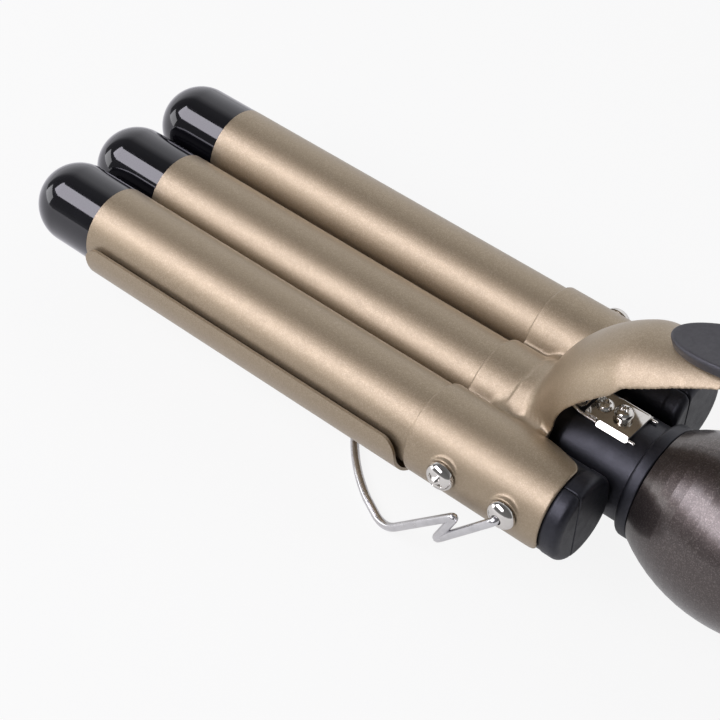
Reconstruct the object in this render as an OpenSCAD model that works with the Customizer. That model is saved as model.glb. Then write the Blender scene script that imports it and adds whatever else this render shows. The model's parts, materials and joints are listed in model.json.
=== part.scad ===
/* [Barrels] */
// Outside diameter of each heated barrel
barrel_d = 25; // [22:0.5:28]
// Wall of each barrel tube
barrel_wall = 1.2; // [0.8:0.1:1.6]
// Gap between the surfaces of neighbouring barrels
barrel_gap = 1.6; // [1.4:0.1:2.2]
// How far the middle barrel's axis lies below the outer ones
middle_drop = 2.5; // [1:0.5:5]
// Straight part of a cool tip, before its dome
tip_len = 15.3; // [10:0.5:20]
// How far the middle tip stands past the outer ones
middle_reach = 2.2; // [0:0.2:5]
// Length of a barrel from its tip seam to the yoke
barrel_len = 121; // [100:1:150]

/* [Wave plate] */
// Gap between an outer barrel and its trough
trough_gap = 1.5; // [1:0.1:2]
// Height of the lips above the outer barrels' axes
lip_height = 3; // [1:0.5:5]
// Gap between the wave plate and the yoke
plate_gap = 2; // [1:0.5:4]
// Corner radius of the lips
lip_corner_r = 5; // [2:0.5:8]

/* [Yoke and lever] */
// Thickness of the pressed sheet
sheet_t = 0.9; // [0.7:0.1:1.2]
// Length of the sleeves over the outer barrels
sleeve_len = 44.5; // [42:0.5:50]
// Length of the cover over the middle barrel
cover_len = 13; // [11:0.5:15]
// Clearance of the cover over the middle barrel
cover_gap = 0.4; // [0.3:0.1:0.8]
// How far the sleeves reach below the outer barrels' axes
sleeve_drop = 1.4; // [1:0.1:3]
// Fillet where the lever rises out of the cover
foot_fillet_r = 6; // [4:0.5:8]
// Steepest slope of the lever, at its foot
foot_slope = 72; // [65:1:78]
// Radius of the lever's arch, seen from the side
arch_r = 52; // [44:1:58]
// Slope at which the arch ends and the lever flattens towards the thumb tab
knee_slope = 31; // [26:1:36]
// Radius of the flattening before the thumb tab
knee_r = 20; // [14:1:26]
// Slope of the lever's end and thumb tab
tab_slope = 14; // [8:1:20]
// Half width of the lever at its foot
foot_half_w = 15; // [14.2:0.2:16]
// Half width of the lever at its end
end_half_w = 8.2; // [7.4:0.2:9]
// Depth of the lever's gutter along the arch
arch_depth = 12.5; // [11.5:0.5:14]
// Depth of the lever's gutter at its end
end_depth = 3.2; // [2.4:0.2:5]

/* [Thumb tab] */
// Length of the thumb tab
tab_len = 44; // [38:1:50]
// Width of the thumb tab
tab_w = 18.4; // [17:0.2:22]
// Thickness of the thumb tab
tab_t = 3.8; // [3:0.1:4.5]

/* [Hinge] */
// Distance of the hinge axis behind the yoke's front edge
hinge_back = 33.6; // [32:0.2:36]
// Height of the hinge axis above the outer barrels' axes
hinge_up = 1.6; // [0:0.2:3]
// Diameter of a pivot pin's shank
pin_d = 4; // [3.6:0.1:4.4]
// Radial running clearance of pins, wire ends and buttons
running_gap = 0.05; // [0.03:0.01:0.08]
// Diameter of the chrome heads on the yoke's sides
head_d = 7.3; // [6:0.1:8]
// Height of the chrome heads
head_h = 2.1; // [1.6:0.1:2.6]
// Distance of the sleeve screws behind the yoke's front edge
sleeve_screw_back = 13.4; // [11:0.2:16]

/* [Neck and handle] */
// Outside diameter of the neck
neck_d = 29.4; // [28:0.2:30]
// Diameter of the collar ring between neck and handle
collar_d = 34.6; // [33:0.2:38]
// Length of the collar ring
collar_len = 5; // [3:0.5:7]
// Largest diameter of the handle
bulb_d = 50.8; // [46:0.2:56]
// Profile radius of the bulb
bulb_profile_r = 50; // [46:1:56]
// Slope of the handle between bulb and grip
waist_slope = 19; // [15:1:21]
// Diameter of the grip at its rear end
grip_end_d = 31; // [30:0.5:33]
// Length of the handle shell
handle_len = 160; // [152:1:175]
// Wall of the handle shell
shell_wall = 2.2; // [1.8:0.1:2.8]
// Length of the rear cap
cap_len = 7; // [5:0.5:10]
// Diameter of the cord inlet
inlet_d = 7.2; // [5:0.2:8]

/* [Buttons] */
// Diameter of the power button
power_d = 8; // [6:0.5:9]
// Diameter of the plus and minus buttons
step_d = 6.4; // [5:0.2:8]
// Travel of every button
button_travel = 0.6; // [0.4:0.1:0.8]
// How far the buttons stand proud of their panel
button_proud = 1.3; // [1:0.1:2]

/* [Stand] */
// Diameter of the stand's wire
wire_d = 2.5; // [2:0.1:3]
// How far the stand's foot reaches ahead of the hinge axis
foot_reach = 70.4; // [66:0.2:80]
// Half width of the stand's foot
foot_half_span = 45; // [44.6:0.2:50]
// Radius of the foot's front bend
foot_front_r = 39; // [34:1:42]
// Heading of the foot where its front bend starts
foot_heading = 50; // [45:1:52]
// Radius of the foot's side bends
foot_side_r = 70; // [66:1:80]

/* [Hidden] */
$fn = 64;

// Small values that several pieces share
eps = 0.01;
cut = 60;
seat_gap = 0.05;
rest_gap = 0.3;

// Barrels: X runs along them with zero at the outer tip seams, Z = 0 on the outer axes
barrel_r = barrel_d / 2;
bore_r = barrel_r - barrel_wall;
pitch = sqrt(pow(barrel_d + barrel_gap, 2) - pow(middle_drop, 2));
yoke_front = -barrel_len;
yoke_rear = yoke_front - sleeve_len;
hinge_x = yoke_front - hinge_back;
hinge_z = hinge_up;
spigot_gap = 0.1;
spigot_r = bore_r - spigot_gap;

// Yoke sheet
sleeve_in_r = barrel_r + spigot_gap;
sleeve_out_r = sleeve_in_r + sheet_t;
cover_in_r = barrel_r + cover_gap;
cover_out_r = cover_in_r + sheet_t;
cover_rear = yoke_front - cover_len;
web_h = 3;
notch_x = yoke_front - 29;
notch_half = neck_d / 2 + rest_gap + 0.6;
sleeve_corner_r = 5;

// Neck: a spigot in the middle barrel, a front part and the main part beside the plugs
neck_r = neck_d / 2;
neck_step = yoke_front - 31;
barrel_seat = yoke_front - 20;
spigot_len = 13;
collar_front = yoke_rear - 8;
handle_front = collar_front - collar_len;
neck_bore_r = 9;
neck_tail = 26;
collar_r = collar_d / 2;

// Plugs that close the outer barrels
plug_front = yoke_front - 27;
plug_rear = yoke_rear - 6.5;
plug_spigot = 22;
plug_edge_r = 1.5;
plug_flat = neck_r + rest_gap;
plug_flange_r = barrel_r + 0.2;

// Handle profile, in distance behind the handle's front and radius
bulb_r = bulb_d / 2;
front_r = collar_r;
bulb_sweep = acos(1 - (bulb_r - front_r) / bulb_profile_r);
bulb_x = bulb_profile_r * sin(bulb_sweep);
waist_x = bulb_x + bulb_profile_r * sin(waist_slope);
waist_r = bulb_r - bulb_profile_r * (1 - cos(waist_slope));
grip_end_r = grip_end_d / 2;
grip_front_r = grip_end_r + 1;
waist_profile_r = (waist_r - grip_front_r) / (1 - cos(waist_slope));
grip_x = waist_x + waist_profile_r * sin(waist_slope);
arc_steps = 8;
handle_rear = handle_front - handle_len;
neck_seat_len = 8;

// Handle screws
boss_r = 2.8;
boss_screw_r = 1.1;
boss_head_r = 2.3;
front_boss = [handle_front - 36, -middle_drop - 15];
middle_boss = [handle_front - grip_x - 8, -middle_drop - 8.5];
rear_boss = [handle_rear + 16, -middle_drop - 8.5];
bosses = [front_boss, middle_boss, rear_boss];
boss_screw_half = 8;
boss_head_t = 2;

// Button panel, seated in the top of the grip
panel_len = 52;
panel_back = 23.5;
panel_front = handle_rear + panel_back + panel_len;
panel_w = 13;
panel_t = 2.6;
panel_top = -middle_drop + grip_end_r + 1.1;
lens_len = 10;
lens_w = 5.4;
lens_x = panel_front - 10;
power_x = panel_front - 23;
plus_x = panel_front - 34;
minus_x = panel_front - 44;
button_flange_t = 1;
button_flange_lap = 0.9;
stem_r = 1.8;

// Circuit board and its switches
board_top = -middle_drop + 4.3;
board_t = 1.6;
board_half_w = 10.5;
board_front = handle_front - 42;
board_rear = minus_x - 8;
rail_t = 1.2;
switch_w = 6;
switch_h = 3.5;
plunger_r = 1.7;
plunger_h = 1.3;
stem_bottom = board_top + switch_h + plunger_h + button_travel + 0.1;

// Rear cap and swivelling cord gland
cap_spigot_len = 7;
cap_rear = handle_rear - cap_len;
gland_r = inlet_d / 2 + 2.4;
gland_flange_r = gland_r + 2;
gland_flange_t = 2.5;
gland_proud = 7;
gland_rear = cap_rear - gland_proud;
cap_spigot_r = grip_end_r - shell_wall - spigot_gap;

// Lever path: crest points with slope, gutter half width and depth
foot_x = cover_rear + 1.5;
crest_z = -middle_drop + cover_out_r - 0.05;
foot_steps = 5;
arch_steps = 8;
tab_steps = 2;
knee_steps = 3;
tab_start = 5.5;
tab_path = tab_start + 0.42 * tab_len;
arch_half_w = 12.2;
tab_half_w = 11;
tab_depth = 11.5;
start_depth = cover_out_r - 0.05;
gutter_steps = 16;
skin_gap = 0.15;
function foot_crest(a) = [foot_x - foot_fillet_r * sin(a), crest_z + foot_fillet_r * (1 - cos(a))];
function arch_crest(a) = foot_crest(foot_slope)
    + arch_r * [-(sin(foot_slope) - sin(a)), cos(a) - cos(foot_slope)];
function knee_crest(a) = arch_crest(knee_slope)
    + knee_r * [-(sin(knee_slope) - sin(a)), cos(a) - cos(knee_slope)];
function tab_crest(s) = knee_crest(tab_slope) + s * [-cos(tab_slope), sin(tab_slope)];
function blend(a, b, t) = a + (b - a) * t;
lever_stations = concat(
    [[foot_x + 2, crest_z, 0, start_depth, start_depth]],
    [for (i = [0 : foot_steps]) let (t = i / foot_steps, a = foot_slope * t, c = foot_crest(a))
        [c[0], c[1], a, blend(start_depth, foot_half_w, t), start_depth]],
    [for (i = [1 : arch_steps]) let (t = i / arch_steps, a = blend(foot_slope, knee_slope, t),
                                     c = arch_crest(a))
        [c[0], c[1], a, blend(foot_half_w, arch_half_w, min(1, 2 * t)),
         blend(start_depth, arch_depth, min(1, 2 * t))]],
    [for (i = [1 : knee_steps]) let (t = i / knee_steps, a = blend(knee_slope, tab_slope, t),
                                     c = knee_crest(a))
        [c[0], c[1], a, blend(arch_half_w, tab_half_w, t), blend(arch_depth, tab_depth, t)]],
    [for (i = [1 : tab_steps]) let (t = i / tab_steps, c = tab_crest(tab_path * t))
        [c[0], c[1], tab_slope, blend(tab_half_w, end_half_w, t), blend(tab_depth, end_depth, t)]]);
tab_seat = 0.1;

// Spring bracket on the neck and the torsion spring under the lever
bracket_front = hinge_x + 0.6;
bracket_rear = hinge_x - 14;
bracket_half = 7;
bracket_t = 0.9;
bracket_z = -middle_drop + neck_r + 0.2;
flange_front = hinge_x - 3.6;
flange_drop = bracket_z + middle_drop - seat_gap
    - sqrt(pow(neck_r, 2) - pow(bracket_half - bracket_t, 2));
bracket_screw_x = [hinge_x - 2.4, hinge_x - 8.6];
spring_wire = 1;
spring_r = 3.4;
spring_y = 5.4;
spring_turns = 3;
spring_pitch = 1.2;
spring_x = hinge_x + 4.2;
spring_leg_z = bracket_z - spring_wire / 2 - seat_gap;
spring_touch_slope = 50;
spring_z = -middle_drop + neck_r + spring_wire / 2 + rest_gap + spring_r;
spring_sides = 8;
turn_steps = 14;
spring_tail = bracket_rear - 1.4;

// Stand: its foot lies in the plane on which the handle's bulb rests
wire_r = wire_d / 2;
base_z = -middle_drop - bulb_r;
foot_z = base_z + wire_r;
apex_x = hinge_x + foot_reach;
side_heading = acos(cos(foot_heading)
    + (foot_half_span - foot_front_r * cos(foot_heading)) / foot_side_r);
front_centre_x = apex_x - foot_front_r;
bend_x = front_centre_x + foot_front_r * sin(foot_heading);
bend_y = foot_front_r * cos(foot_heading);
side_centre = [bend_x - foot_side_r * sin(foot_heading), bend_y - foot_side_r * cos(foot_heading)];
foot_corner = [side_centre[0] + foot_side_r * sin(side_heading), foot_half_span, foot_z];
head_seat_y = pitch + sleeve_out_r + seat_gap;
leg_y = head_seat_y + head_h + wire_r + 0.3;
leg_top = [hinge_x, leg_y, hinge_z];
kink_low = [hinge_x + 17.3, blend(leg_y, foot_half_span, 0.45), foot_z + 8.2];
kink_high = [hinge_x + 11.4, blend(leg_y, foot_half_span, 0.55), foot_z + 22];
wire_in_pin = 5;
wire_sides = 12;
kink_r = 3;
kink_steps = 4;
bend_step = 7;

// Round corner at b of the line from a to c, starting kink_r before the corner
function corner(a, b, c, r) = let (p = b + r * unit(a - b), q = b + r * unit(c - b))
    [for (i = [0 : kink_steps]) let (t = i / kink_steps)
        (1 - t) * (1 - t) * p + 2 * t * (1 - t) * b + t * t * q];
side_bend = [for (i = [0 : 4]) let (a = blend(side_heading, foot_heading, i / 4))
    [side_centre[0] + foot_side_r * sin(a), side_centre[1] + foot_side_r * cos(a), foot_z]];
half_stand = concat(
    [[hinge_x, leg_y - wire_in_pin - wire_r, hinge_z]],
    corner([hinge_x, 0, hinge_z], leg_top, kink_low, 1.6),
    corner(leg_top, kink_low, kink_high, kink_r),
    corner(kink_low, kink_high, foot_corner, kink_r),
    corner(kink_high, foot_corner, side_bend[1], 2 * kink_r),
    [for (i = [1 : 3]) side_bend[i]],
    [for (a = [foot_heading : bend_step : 89])
        [front_centre_x + foot_front_r * sin(a), foot_front_r * cos(a), foot_z]]);
stand_path = concat(half_stand, [[apex_x, 0, foot_z]],
    [for (i = [len(half_stand) - 1 : -1 : 0]) [half_stand[i][0], -half_stand[i][1], half_stand[i][2]]]);

// Origin of the part: middle of its length, on the plane on which it rests
front_end = tip_len + middle_reach + barrel_r;
centre_x = (front_end + gland_rear) / 2;

module at_origin() {
    translate([-centre_x, 0, -base_z]) children();
}

// Turns a shape that is drawn along Z so that it runs along X from x
module along_x(x, y = 0, z = 0) {
    translate([x, y, z]) rotate([0, 90, 0]) children();
}

// Round bar along Y through (x, z), from y0 to y1
module along_y(x, z, y0, y1, r) {
    translate([x, y0, z]) rotate([-90, 0, 0]) cylinder(r = r, h = y1 - y0);
}

// Domed head on the plane z = 0
module dome(d, h) {
    ball_r = (d * d / 4 + h * h) / (2 * h);
    intersection() {
        translate([0, 0, h - ball_r]) sphere(r = ball_r);
        translate([0, 0, h / 2]) cube([d * 2, d * 2, h], center = true);
    }
}

module stadium(length, width) {
    for (s = [-1, 1]) translate([s * (length - width) / 2, 0]) circle(d = width);
    square([length - width, width], center = true);
}

// Barrels and their cool tips
module barrel_tube(y, z, rear) {
    along_x(rear, y, z) difference() {
        cylinder(r = barrel_r, h = -rear);
        translate([0, 0, -1]) cylinder(r = bore_r, h = -rear + 2);
    }
}

module outer_barrel(side) {
    color("tan") difference() {
        barrel_tube(side * pitch, 0, plug_front);
        sleeve_screw_hole(side, 1.7);
    }
}

module sleeve_screw_hole(side, r) {
    x = yoke_front - sleeve_screw_back;
    if (side > 0) along_y(x, hinge_z, pitch, cut, r);
    else along_y(x, hinge_z, -cut, -pitch, r);
}

module barrel_tip(y, z, straight) {
    tip_spigot = 8;
    color("black") along_x(0, y, z) {
        cylinder(r = barrel_r, h = straight);
        intersection() {
            translate([0, 0, straight]) sphere(r = barrel_r);
            translate([0, 0, straight]) cylinder(r = barrel_r + 1, h = barrel_r + 1);
        }
        translate([0, 0, -tip_spigot]) cylinder(r = spigot_r, h = tip_spigot);
    }
}

module left_barrel() { outer_barrel(1); }
module right_barrel() { outer_barrel(-1); }
module left_tip() { barrel_tip(pitch, 0, tip_len); }
module right_tip() { barrel_tip(-pitch, 0, tip_len); }
module middle_tip() { barrel_tip(0, -middle_drop, tip_len + middle_reach); }

rivet_x = [-0.25 * barrel_len, -0.85 * barrel_len];
rivet_r = 1.6;
rivet_head_d = 5.2;
rivet_head_h = 1.2;

module middle_barrel() {
    color("tan") difference() {
        barrel_tube(0, -middle_drop, barrel_seat);
        for (x = rivet_x)
            translate([x, 0, -middle_drop - barrel_r - 1]) cylinder(r = rivet_r + seat_gap, h = 4);
    }
}

// Heaters: two half-round aluminium blocks that clamp a ceramic strip
ptc_w = 15;
ptc_t = 2.4;
heater_front = -12;
heater_len = 96;

module heater(y, z) {
    color("silver") translate([heater_front - heater_len, y, z]) intersection() {
        rotate([0, 90, 0]) cylinder(r = bore_r - spigot_gap, h = heater_len);
        for (s = [-1, 1])
            translate([heater_len / 2, 0, s * (ptc_t / 2 + seat_gap + bore_r / 2)])
                cube([heater_len + 2, barrel_d, bore_r], center = true);
    }
}

module ptc(y, z) {
    color("ivory") translate([heater_front - heater_len / 2, y, z])
        cube([heater_len - 10, ptc_w, ptc_t], center = true);
}

module left_heater() { heater(pitch, 0); }
module right_heater() { heater(-pitch, 0); }
module left_ptc() { ptc(pitch, 0); }
module right_ptc() { ptc(-pitch, 0); }
module middle_ptc() { ptc(0, -middle_drop); }
module middle_heater() {
    difference() {
        heater(0, -middle_drop);
        for (x = rivet_x)
            translate([x, 0, -middle_drop - barrel_r]) cylinder(r = rivet_r + 0.6, h = 3);
    }
}

// Wave plate: two troughs and a saddle that carries the middle barrel
trough_in_r = barrel_r + trough_gap;
trough_out_r = trough_in_r + sheet_t;
saddle_in_r = barrel_r + seat_gap;
plate_front = -2;
plate_len = barrel_len - plate_gap + plate_front;

// Where the sheet's middle lines of trough and saddle cross, from the trough's centre
cusp_d = barrel_d + barrel_gap;
trough_mid_r = trough_in_r + sheet_t / 2;
saddle_mid_r = saddle_in_r + sheet_t / 2;
cusp_a = (cusp_d * cusp_d + trough_mid_r * trough_mid_r - saddle_mid_r * saddle_mid_r) / (2 * cusp_d);
cusp_h = sqrt(trough_mid_r * trough_mid_r - cusp_a * cusp_a);
cusp_tilt = atan2(middle_drop, pitch);
cusp_y = pitch - cusp_a * cos(cusp_tilt) + cusp_h * sin(cusp_tilt);
cusp_z = -cusp_a * sin(cusp_tilt) - cusp_h * cos(cusp_tilt);

module wave_profile() {
    difference() {
        union() {
            intersection() {
                for (s = [-1, 1]) translate([s * pitch, 0]) circle(r = trough_out_r);
                union() {
                    for (s = [-1, 1]) translate([s * (cusp_y + cut / 2), lip_height - cut / 2])
                        square([cut, cut], center = true);
                }
            }
            intersection() {
                translate([0, -middle_drop]) circle(r = saddle_in_r + sheet_t);
                translate([0, cusp_z - cut / 2]) square([2 * cusp_y, cut], center = true);
            }
            for (s = [-1, 1]) translate([s * cusp_y, cusp_z]) circle(d = sheet_t);
        }
        for (s = [-1, 1]) translate([s * pitch, 0]) circle(r = trough_in_r);
        translate([0, -middle_drop]) circle(r = saddle_in_r);
        for (s = [-1, 1])
            translate([s * pitch - s * cut / 2, lip_height / 2 + cusp_z / 2 + cut / 2 + 1])
                square([cut, cut - lip_height], center = true);
    }
}

// Cuts a round corner of radius r, seen along Y, at (x, z); dx and dz point into the sheet.
// The round meets the edges at a slight angle, which leaves no sliver where it runs out.
module corner_cut(x, z, dx, dz, r) {
    centre = r - seat_gap;
    translate([x, 0, z]) difference() {
        translate([dx * (r / 2 - 1), 0, dz * (r / 2 - 1)])
            cube([r + 2, 4 * cut, r + 2], center = true);
        translate([dx * centre, 0, dz * centre]) rotate([90, 0, 0])
            cylinder(r = r, h = 5 * cut, center = true);
        translate([dx * (r + cut / 2), 0, 0]) cube([cut, 5 * cut, cut], center = true);
        translate([0, 0, dz * (r + cut / 2)]) cube([cut, 5 * cut, cut], center = true);
    }
}

module wave_plate() {
    color("tan") difference() {
        translate([plate_front, 0, 0]) rotate([90, 0, -90]) linear_extrude(plate_len)
            mirror([1, 0]) wave_profile();
        corner_cut(plate_front, lip_height, -1, -1, lip_corner_r);
        corner_cut(plate_front - plate_len, lip_height, 1, -1, lip_corner_r);
        for (x = rivet_x)
            translate([x, 0, -middle_drop - barrel_r - 4]) cylinder(r = rivet_r + seat_gap, h = 6);
    }
}

module plate_rivets() {
    head_z = -middle_drop - saddle_in_r - sheet_t - seat_gap;
    shank_h = barrel_wall + sheet_t + 0.4;
    color("tan") for (x = rivet_x) translate([x, 0, head_z]) {
        rotate([180, 0, 0]) dome(rivet_head_d, rivet_head_h);
        cylinder(r = rivet_r, h = shank_h);
    }
}

// Yoke: sleeves, cover and the lever that rises out of them, one pressed sheet
module yoke_bores() {
    for (s = [-1, 1]) translate([s * pitch, 0]) circle(r = sleeve_in_r);
    translate([0, -middle_drop]) circle(r = cover_in_r);
}

module yoke_profile(with_cover) {
    web_d = cover_in_r + (sheet_t + barrel_gap) / 4;
    difference() {
        union() {
            for (s = [-1, 1]) translate([s * pitch, 0]) circle(r = sleeve_out_r);
            if (with_cover) {
                translate([0, -middle_drop]) circle(r = cover_out_r);
                for (s = [-1, 1])
                    translate([s * web_d * cos(cusp_tilt), web_h / 2 - sleeve_drop])
                        square([barrel_gap + sheet_t, web_h], center = true);
            }
        }
        yoke_bores();
        translate([0, -sleeve_drop - cut]) square([3 * cut, 2 * cut], center = true);
    }
}

module extrude_yoke(rear, front, with_cover) {
    translate([front, 0, 0]) rotate([90, 0, -90]) linear_extrude(front - rear)
        mirror([1, 0]) yoke_profile(with_cover);
}

// Plan of the opening behind the lever's foot
module neck_opening() {
    rear_half = pitch - 4;
    translate([0, 0, -cut / 2]) linear_extrude(cut)
        polygon([[notch_x, notch_half], [notch_x - 1.5, notch_half], [yoke_rear, rear_half],
                 [yoke_rear - 1, rear_half], [yoke_rear - 1, -rear_half], [yoke_rear, -rear_half],
                 [notch_x - 1.5, -notch_half], [notch_x, -notch_half]]);
}

// Keeps a point p = [y, z] outside a circle of radius r about c
function keep_out(p, c, r) = norm(p - c) < r ? c + r * unit(p - c) : p;

// One point of the gutter: st is a station, f its angle from the crest, t the depth in the sheet.
// Its foot lies on the sleeves, so points are kept outside the barrels' bores.
function gutter_point(st, f, t) =
    let (y = (st[3] - t) * sin(f), d = t + (st[4] - t) * (1 - cos(f)),
         p = [y, st[1] - d * cos(st[2])],
         q = keep_out(p, [y < 0 ? -pitch : pitch, 0], t > 0 ? sleeve_in_r + skin_gap : sleeve_out_r - skin_gap),
         w = keep_out(q, [0, -middle_drop], t > 0 ? cover_in_r + skin_gap / 2 : cover_out_r - skin_gap / 2))
    [st[0] - d * sin(st[2]), w[0], w[1]];

module lever(stations) {
    n = gutter_steps;
    ring = 2 * (n + 1);
    count = len(stations);
    points = [for (st = stations) each concat(
        [for (i = [0 : n]) gutter_point(st, -90 + 180 * i / n, 0)],
        [for (i = [0 : n]) gutter_point(st, 90 - 180 * i / n, sheet_t)])];
    sides = [for (k = [0 : count - 2], i = [0 : ring - 1])
        [k * ring + i, (k + 1) * ring + i, (k + 1) * ring + (i + 1) % ring, k * ring + (i + 1) % ring]];
    first_cap = [for (i = [0 : n - 1]) [i, i + 1, ring - 2 - i, ring - 1 - i]];
    last = (count - 1) * ring;
    last_cap = [for (i = [0 : n - 1]) [last + i, last + ring - 1 - i, last + ring - 2 - i, last + i + 1]];
    polyhedron(points, concat(sides, first_cap, last_cap), convexity = 6);
}

module jaw_yoke() {
    color("tan") difference() {
        union() {
            extrude_yoke(cover_rear, yoke_front, true);
            difference() {
                extrude_yoke(yoke_rear, cover_rear + eps, false);
                neck_opening();
                corner_cut(yoke_rear, -sleeve_drop, 1, 1, sleeve_corner_r);
            }
            lever(lever_stations);
        }
        for (side = [-1, 1]) {
            sleeve_screw_hole(side, 1.7);
            pivot_hole(side, pin_d / 2 + 0.4);
        }
        for (s = tab_screw_s)
            lever_frame(s) translate([0, 0, -4]) cylinder(r = tab_hole_r, h = 5, $fn = 12);
    }
}

module pivot_hole(side, r) {
    if (side > 0) along_y(hinge_x, hinge_z, pitch, cut, r);
    else along_y(hinge_x, hinge_z, -cut, -pitch, r);
}

// Local frame on the lever's straight end: X back along it, Z out of it, s from its start
module lever_frame(s) {
    c = tab_crest(s);
    translate([c[0], 0, c[1]]) rotate([0, tab_slope, 0]) rotate([0, 0, 180]) children();
}

tab_screw_s = [tab_start + tab_len * 0.14, tab_start + tab_len * 0.32];
tab_hole_r = 1.3;

tab_sides = 48;

module thumb_tab() {
    pilot_depth = 2.4;
    color([0.12, 0.12, 0.13]) difference() {
        lever_frame(tab_start + tab_len / 2) translate([0, 0, tab_seat]) linear_extrude(tab_t)
            polygon([for (i = [0 : tab_sides - 1]) let (a = 360 * i / tab_sides)
                [tab_len / 2 * cos(a), tab_w / 2 * sin(a)]]);
        for (s = tab_screw_s) lever_frame(s) cylinder(r = 1.0, h = pilot_depth);
    }
}

module tab_screws() {
    color("silver") for (s = tab_screw_s) lever_frame(s) {
        translate([0, 0, -sheet_t - rest_gap]) rotate([180, 0, 0]) dome(4, 1.3);
        translate([0, 0, -sheet_t - rest_gap - eps]) cylinder(r = 0.95, h = sheet_t + rest_gap + 2);
    }
}

// Black plugs that close the outer barrels and turn on the pivot pins
module plug(side) {
    color([0.1, 0.1, 0.11]) difference() {
        union() {
            along_x(plug_front - 1, side * pitch, 0) cylinder(r = spigot_r, h = plug_spigot + 1);
            along_x(yoke_rear - 1, side * pitch, 0)
                cylinder(r = barrel_r, h = plug_front - yoke_rear + 1 - seat_gap);
            along_x(plug_rear + plug_edge_r, side * pitch, 0)
                cylinder(r = plug_flange_r, h = yoke_rear - plug_rear - plug_edge_r - seat_gap);
            along_x(plug_rear, side * pitch, 0) rotate_extrude() {
                square([plug_flange_r - plug_edge_r, plug_edge_r + eps]);
                intersection() {
                    translate([plug_flange_r - plug_edge_r, plug_edge_r]) circle(r = plug_edge_r);
                    translate([plug_flange_r - plug_edge_r - eps, 0])
                        square([plug_edge_r + 1, plug_edge_r + eps]);
                }
            }
        }
        translate([plug_rear - 1, -plug_flat, -cut / 2])
            cube([plug_front - plug_rear + 1, 2 * plug_flat, cut]);
        along_y(hinge_x, hinge_z, -cut, cut, pin_d / 2 + running_gap);
        sleeve_screw_hole(side, 1.3);
    }
}

module left_plug() { plug(1); }
module right_plug() { plug(-1); }

module head_dome(x, side) {
    translate([x, side * head_seat_y, hinge_z]) rotate([-90 * side, 0, 0]) dome(head_d, head_h);
}

module sleeve_screws() {
    x = yoke_front - sleeve_screw_back;
    shank = 8;
    color("silver") for (side = [-1, 1]) {
        head_dome(x, side);
        along_y(x, hinge_z, side > 0 ? head_seat_y - shank : -head_seat_y,
                side > 0 ? head_seat_y : shank - head_seat_y, 1.25);
    }
}

module pivot_pins() {
    pin_in = neck_bore_r + 1;
    color("silver") difference() {
        for (side = [-1, 1]) {
            head_dome(hinge_x, side);
            along_y(hinge_x, hinge_z, side > 0 ? pin_in : -head_seat_y,
                    side > 0 ? head_seat_y : -pin_in, pin_d / 2);
        }
        for (side = [-1, 1])
            along_y(hinge_x, hinge_z, side > 0 ? leg_y - wire_in_pin - wire_r - 1 : -cut,
                    side > 0 ? cut : -leg_y + wire_in_pin + wire_r + 1, wire_r + running_gap);
    }
}

// Neck housing, with the spigot that carries the middle barrel
module neck_housing() {
    color([0.1, 0.1, 0.11]) difference() {
        union() {
            along_x(barrel_seat - seat_gap, 0, -middle_drop) cylinder(r = spigot_r, h = spigot_len);
            along_x(neck_step, 0, -middle_drop)
                cylinder(r = barrel_r, h = barrel_seat - neck_step - seat_gap);
            along_x(handle_front - neck_tail, 0, -middle_drop)
                cylinder(r = neck_r, h = neck_step - handle_front + neck_tail);
        }
        along_x(handle_front - neck_tail - 1, 0, -middle_drop)
            cylinder(r = neck_bore_r, h = barrel_len);
        along_y(hinge_x, hinge_z, -cut, cut, pin_d / 2 + seat_gap / 2);
        for (x = bracket_screw_x)
            translate([x, 0, -middle_drop + neck_bore_r - 1]) cylinder(r = 1.15, h = cut / 2);
    }
}

module collar_ring() {
    color([0.1, 0.1, 0.11]) along_x(handle_front, 0, -middle_drop) difference() {
        cylinder(r = collar_r, h = collar_len);
        translate([0, 0, -1]) cylinder(r = neck_r + seat_gap, h = collar_len + 2);
    }
}

// Handle shell: the profile is drawn with X as radius and Y as distance behind the front
function handle_outline() = concat(
    [for (i = [0 : arc_steps]) let (a = bulb_sweep * (1 - i / arc_steps))
        [bulb_r - bulb_profile_r * (1 - cos(a)), bulb_x - bulb_profile_r * sin(a)]],
    [for (i = [1 : arc_steps]) let (a = waist_slope * i / arc_steps)
        [bulb_r - bulb_profile_r * (1 - cos(a)), bulb_x + bulb_profile_r * sin(a)]],
    [for (i = [1 : arc_steps]) let (a = waist_slope * (1 - i / arc_steps))
        [grip_front_r + waist_profile_r * (1 - cos(a)), grip_x - waist_profile_r * sin(a)]],
    [[grip_end_r, handle_len]]);

module handle_outer() {
    along_x(handle_front, 0, -middle_drop) mirror([0, 0, 1]) rotate_extrude()
        polygon(concat([[0, 0]], handle_outline(), [[0, handle_len]]));
}

module handle_cavity() {
    along_x(handle_front, 0, -middle_drop) mirror([0, 0, 1]) {
        rotate_extrude() intersection() {
            translate([-shell_wall, 0])
                polygon(concat([[0, 0]], handle_outline(), [[0, handle_len]]));
            translate([0, neck_seat_len]) square([cut, handle_len - neck_seat_len + 1]);
        }
        translate([0, 0, -1]) cylinder(r = neck_r + seat_gap, h = neck_seat_len + 2);
        translate([0, 0, handle_len - 10]) cylinder(r = grip_end_r - shell_wall, h = 11);
    }
}

module panel_hole(extra) {
    translate([panel_front - panel_len / 2, 0, 0]) linear_extrude(cut)
        stadium(panel_len + 2 * extra, panel_w + 2 * extra);
}

// Rails that hold the edges of the circuit board, and the ledge under the button panel
module handle_inside() {
    for (s = [-1, 1], z = [board_top + seat_gap, board_top - board_t - rail_t - seat_gap])
        translate([board_rear, s > 0 ? board_half_w - 1.5 : -cut, z])
            cube([board_front - board_rear, cut - board_half_w + 1.5, rail_t]);
    for (b = bosses) along_y(b[0], b[1], -cut, cut, boss_r);
}

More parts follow.
